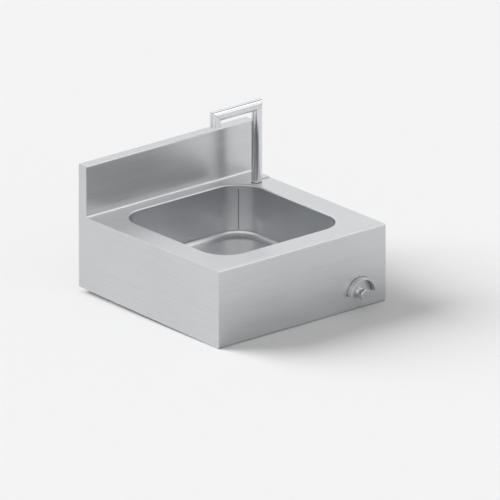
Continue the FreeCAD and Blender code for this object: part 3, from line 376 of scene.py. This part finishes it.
def galvanised():
    """Zinc-coated sheet with its spangle."""
    made = Finish("galvanised")
    inputs = {"Vector": made.scaled(even(ZINC_SPANGLE)), "Scale": 1.0}
    spangle = made.add("ShaderNodeTexVoronoi", inputs).outputs["Color"]
    value = made.mean(spangle, made.noise(even(ZINC_GRAIN)), share=0.5)
    return made.finish(made.colours(value, ZINC_COLOURS), made.spread(value, ZINC_ROUGHNESS))


def moulded(name, colours, limits):
    """Moulded rubber or plastic with a fine grain."""
    made = Finish(name)
    grain = made.noise(even(MOULD_GRAIN))
    clouds = made.noise(even(MOULD_CLOUDS))
    colour = made.colours(made.mean(clouds, grain, share=0.3), colours)
    return made.finish(colour, made.spread(clouds, limits), grain, MOULD_RELIEF, metallic=0.0)


def weld_and_shade_steel():
    """Bead of a weld, dark from its heat, with a trace of straw colour; on the bowl's corner seam the same
    dark is painted shade along the rounded corner.
    """
    made = Finish("weld_and_shade_steel")
    clouds = made.noise(even(WELD_CLOUDS))
    grain = made.noise(even(WELD_GRAIN))
    roughness = made.spread(clouds, WELD_ROUGHNESS)
    return made.finish(made.colours(clouds, WELD_AND_SHADE_COLOURS), roughness, grain, WELD_RELIEF)


def floor_finish():
    """Plain pale floor."""
    material = bpy.data.materials.new("pale_floor")
    material.use_nodes = True
    surface = material.node_tree.nodes["Principled BSDF"]
    surface.inputs["Base Color"].default_value = FLOOR_COLOUR
    surface.inputs["Roughness"].default_value = FLOOR_ROUGHNESS
    surface.inputs["Specular IOR Level"].default_value = FLOOR_SPECULAR
    return material


def middle(node):
    """Centre of a node's box."""
    low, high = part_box(node)
    return (low + high) / 2


STEEL_ACROSS = brushed_steel("steel_across", "X")
STEEL_ALONG = brushed_steel("steel_along", "Y")
BOWL_STEEL = bowl_steel()
RUBBER = moulded("rubber", RUBBER_COLOURS, RUBBER_ROUGHNESS)
PLASTIC = moulded("plastic", PLASTIC_COLOURS, PLASTIC_ROUGHNESS)
BRASS = tarnished("brass", BRASS_COLOURS, BRASS_ROUGHNESS)
VALVE_BRASS = tarnished("valve_brass", BRASS_COLOURS, BRASS_ROUGHNESS, APRON_FACE + PLATED_DEPTH)
COPPER = tarnished("copper", COPPER_COLOURS, COPPER_ROUGHNESS)
DRAWN_STEEL = tarnished("drawn_steel", DRAWN_COLOURS, DRAWN_ROUGHNESS)
GALVANISED = galvanised()
SPOUT_CHROME = polished("spout_chrome")
VALVE_CHROME = polished("valve_chrome", middle("push_button"), "Y")
WASTE_CHROME = polished("waste_chrome", middle("waste_grid"), "Z")
WELD_AND_SHADE = weld_and_shade_steel()

NODE_FINISH = {
    STEEL_ACROSS: ["deck_panel", "backsplash", "front_panel", "rear_brace", "tap_corner_plate"],
    STEEL_ALONG: ["left_side_panel", "right_side_panel", "knee_guard"],
    BOWL_STEEL: ["bowl"],
    GALVANISED: ["wall_rail", "backing_washer"],
    SPOUT_CHROME: [
        "spout_riser", "spout_arm", "spout_outlet", "riser_set_screw", "aerator_housing", "swivel_shank",
    ],
    VALVE_CHROME: ["push_button", "bezel_nut"],
    WASTE_CHROME: ["waste_flange", "waste_grid", "grid_screw"],
    VALVE_BRASS: ["valve_body"],
    BRASS: [
        "rear_cap", "valve_poppet", "outlet_nut", "outlet_olive", "tail_nut", "tail_olive", "shank_locknut",
        "waste_backnut",
    ],
    COPPER: ["supply_tube"],
    RUBBER: [
        "waste_top_seal", "waste_bottom_seal", "panel_gasket", "stem_seal", "poppet_seal", "shank_orings",
        "deck_seal", "rear_cap_seal",
    ],
    PLASTIC: ["aerator_screen", "thrust_washer"],
    DRAWN_STEEL: ["return_spring", "plunger_stem", "inlet_filter"],
}
for finish, names in NODE_FINISH.items():
    for name in names:
        NODES[name].data.materials.clear()
        NODES[name].data.materials.append(finish)


# Added pieces

def bead(name, points, radius, finish, body, closed=False, swell=0.0):
    """A round bead along points that rides on a body; swell makes it ripple."""
    curve = bpy.data.curves.new(name, "CURVE")
    curve.dimensions = "3D"
    curve.bevel_depth = radius
    curve.bevel_resolution = BEAD_STEPS
    curve.use_fill_caps = not closed
    line = curve.splines.new("POLY")
    line.points.add(len(points) - 1)
    line.use_cyclic_u = closed
    for i, (point, place) in enumerate(zip(line.points, points)):
        point.co = (*place, 1)
        point.radius = 1 + swell * math.cos(2 * math.pi * i / RIPPLE_PITCH)
    curve.materials.append(finish)
    piece = bpy.data.objects.new(name, curve)
    bpy.context.scene.collection.objects.link(piece)
    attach(piece, body)


def around(centre, radius, angle, height):
    """Point at an angle around an upright axis."""
    return Vector((centre.x + radius * math.cos(angle), centre.y + radius * math.sin(angle), height))


def thread(name, centre, radius, low, high, pitch, finish):
    """Ridge of an upright screw thread on a plain cylinder."""
    start = low + THREAD_MARGIN
    turns = (high - low - 2 * THREAD_MARGIN) / pitch
    reach = radius + RIDGE_PROUD - RIDGE_RADIUS
    steps = [i / TURN_STEPS for i in range(round(turns * TURN_STEPS) + 1)]
    points = [around(centre, reach, 2 * math.pi * turn, start + pitch * turn) for turn in steps]
    bead(name, points, RIDGE_RADIUS, finish, "sink")


def threads():
    """Threads on the waste's tail, the inlet and the spout's shank, where no nut covers them."""
    mounts = {mount["name"]: mount for mount in frame["record"]["mounts"]}
    for name, mount, pitch, finish, slot in (
        ("waste_thread", "drain_outlet", WASTE_PITCH, WASTE_CHROME, "chrome"),
        ("inlet_thread", "water_inlet", INLET_PITCH, BRASS, "brass"),
    ):
        place = Vector(mounts[mount]["pos_m"])
        dims = mounts[mount]["dims"]
        radius = dims["r_mm"] / MM_PER_METRE
        half = dims["length_mm"] / MM_PER_METRE / 2
        thread(name, place, radius, place.z - half, place.z + half, pitch, finish)
    washer_low, washer_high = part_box("backing_washer")
    radius = (washer_high.x - washer_low.x) / 2 - SHANK_LEDGE
    low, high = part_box("tail_nut")[1].z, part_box("shank_locknut")[0].z
    thread("shank_thread", middle("shank_locknut"), radius, low, high, SHANK_PITCH, SPOUT_CHROME)


def guard_bead():
    """Fillet weld round the foot of the guard, out along its outer arc and back along its inner one."""
    low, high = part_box("knee_guard")
    outer = (high.x - low.x) / 2
    end = GUARD_WALL / 2
    foot = Vector(((low.x + high.x) / 2, high.y, low.z))
    points = []
    for radius, turn in ((outer, 1), (outer - GUARD_WALL, -1)):
        start = math.asin(end / radius)
        steps = round(GUARD_STEPS * radius / outer)
        for i in range(steps + 1):
            angle = math.pi / 2 + turn * (math.pi / 2 - start) * (2 * i / steps - 1)
            points.append(foot + Vector((radius * math.cos(angle), 0, radius * math.sin(angle))))
        side = -turn * (outer - end)
        for angle in GUARD_END_ANGLES:
            points.append(foot + Vector((side + end * math.cos(angle), 0, end + end * math.sin(angle))))
    bead("guard_weld", points, GUARD_BEAD, WELD_AND_SHADE, "sink", closed=True, swell=RIPPLE)


def bowl_seam_painted_shade():
    """Upright weld that closes the bowl's wall in its back right corner; its dark weld colour there is
    painted shade along the rounded corner.
    """
    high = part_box("bowl")[1]
    centre = high - Vector((BOWL_RIM + BOWL_CORNER, BOWL_RIM + BOWL_CORNER, 0))
    reach = BOWL_CORNER + SEAM_BEAD - SEAM_PROUD
    top = high.z - SEAM_BELOW_RIM
    bottom = high.z - BOWL_DEPTH + FLOOR_ROUND
    heights = [top + (bottom - top) * i / SEAM_STEPS for i in range(SEAM_STEPS + 1)]
    points = [around(centre, reach, SEAM_ANGLE, height) for height in heights]
    # the dark weld colour of this bead is painted shade along the rounded corner
    bead("bowl_seam_painted_shade", points, SEAM_BEAD, WELD_AND_SHADE, "sink", swell=SEAM_RIPPLE)


def mitre_beads():
    """Fine ground seams where the three tubes of the spout meet."""
    arm_low, arm_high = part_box("spout_arm")
    radius = (arm_high.y - arm_low.y) / 2
    centre = (arm_low + arm_high) / 2
    for name, x, lean in (
        ("riser_seam", arm_high.x - radius, 1),
        ("outlet_seam", arm_low.x + radius, -1),
    ):
        points = []
        for i in range(MITRE_STEPS):
            angle = 2 * math.pi * i / MITRE_STEPS
            across = radius * math.cos(angle)
            height = min(centre.z + lean * across, arm_high.z - MITRE_BEAD)
            points.append(Vector((x + across, centre.y + radius * math.sin(angle), height)))
        bead(name, points, MITRE_BEAD, SPOUT_CHROME, "spout", closed=True)


def pressed_spring():
    """Return spring, shown as a copy of its solid's mesh that rides on the sink, with the solid hidden."""
    low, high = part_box("return_spring")
    coil = bpy.data.objects.new("spring_coil", NODES["return_spring"].data.copy())
    bpy.context.scene.collection.objects.link(coil)
    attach(coil, "sink")
    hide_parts("return_spring")
    anchor = middle("return_spring")
    anchor.y = high.y
    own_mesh(coil)


threads()
guard_bead()
bowl_seam_painted_shade()
mitre_beads()
pressed_spring()


# Stage

def make_floor():
    """Pale floor just under the apron."""
    half = FLOOR_SIZE / 2
    level = CAD_LOW.z - FLOOR_GAP
    mesh = bpy.data.meshes.new("floor")
    corners = [(-half, -half, level), (half, -half, level), (half, half, level), (-half, half, level)]
    mesh.from_pydata(corners, [], [(0, 1, 2, 3)])
    mesh.materials.append(floor_finish())
    floor = bpy.data.objects.new("floor", mesh)
    bpy.context.scene.collection.objects.link(floor)


def make_world():
    """White ring between pale ground and a grey ceiling, with two soft lights that only show."""
    world = bpy.data.worlds.new("white")
    bpy.context.scene.world = world
    world.use_nodes = True
    tree = world.node_tree

    def combine(operation, first, second):
        return add_node(tree, "ShaderNodeMath", {0: first, 1: second}, operation=operation).outputs[0]

    def ramp(value, limits, first, last):
        ends = {"From Min": limits[0], "From Max": limits[1], "To Min": first, "To Max": last}
        return add_node(tree, "ShaderNodeMapRange", {"Value": value, **ends}).outputs[0]

    rays = add_node(tree, "ShaderNodeLightPath").outputs
    shown = combine("MAXIMUM", rays["Is Camera Ray"], rays["Is Glossy Ray"])
    shown = combine("MAXIMUM", shown, rays["Is Transmission Ray"])
    direction = add_node(tree, "ShaderNodeTexCoord").outputs["Generated"]
    height = add_node(tree, "ShaderNodeSeparateXYZ", {0: direction}).outputs["Z"]
    look = ramp(height, HORIZON_SINES, GROUND, HORIZON)
    for sines, change in ((RING_SINES, RING / HORIZON), (COVE_SINES, CEILING / RING)):
        look = combine("MULTIPLY", look, ramp(height, sines, 1.0, change))
    for place, strength in GLOWS:
        inputs = {0: direction, 1: place.normalized()}
        nearness = add_node(tree, "ShaderNodeVectorMath", inputs, operation="DOT_PRODUCT").outputs["Value"]
        look = combine("ADD", look, ramp(nearness, GLOW_COSINES, 0.0, strength))
    level = add_node(tree, "ShaderNodeMapRange", {"Value": shown, "To Min": AMBIENT, "To Max": look})
    sky = tree.nodes["Background"]
    sky.inputs["Color"].default_value = WHITE
    tree.links.new(level.outputs[0], sky.inputs["Strength"])


def make_sun():
    """Broad soft light from behind the left side, which doesn't show in the metal."""
    lamp = bpy.data.lights.new("sun", "SUN")
    lamp.energy = SUN_STRENGTH
    lamp.angle = SUN_SPREAD
    light = bpy.data.objects.new("sun", lamp)
    light.rotation_euler = (-SUN_FROM).to_track_quat("-Z", "Y").to_euler()
    light.visible_glossy = False
    bpy.context.scene.collection.objects.link(light)


def make_camera():
    """Distant camera that puts the deck's front left corner on its pixel."""
    back = Vector((
        math.sin(AZIMUTH) * math.cos(ELEVATION),
        -math.cos(AZIMUTH) * math.cos(ELEVATION),
        math.sin(ELEVATION),
    ))
    right = Vector((math.cos(AZIMUTH), math.sin(AZIMUTH), 0))
    up = back.cross(right)
    corner = Vector((CAD_LOW.x, APRON_FACE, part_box("deck_panel")[1].z))
    across = (PHOTO_SIZE / 2 - CORNER_PIXEL[0]) / PIXELS_PER_METRE
    rise = (CORNER_PIXEL[1] - PHOTO_SIZE / 2) / PIXELS_PER_METRE
    camera = bpy.data.cameras.new("camera")
    camera.lens = LENS
    camera.clip_end = FAR_CLIP
    distance = LENS / camera.sensor_width * PHOTO_SIZE / PIXELS_PER_METRE
    holder = bpy.data.objects.new("camera", camera)
    holder.location = corner + right * across + up * rise + back * distance
    holder.rotation_euler = (-back).to_track_quat("-Z", "Y").to_euler()
    bpy.context.scene.collection.objects.link(holder)
    bpy.context.scene.camera = holder


make_floor()
make_world()
make_sun()
make_camera()
bpy.context.scene.view_settings.view_transform = "Standard"
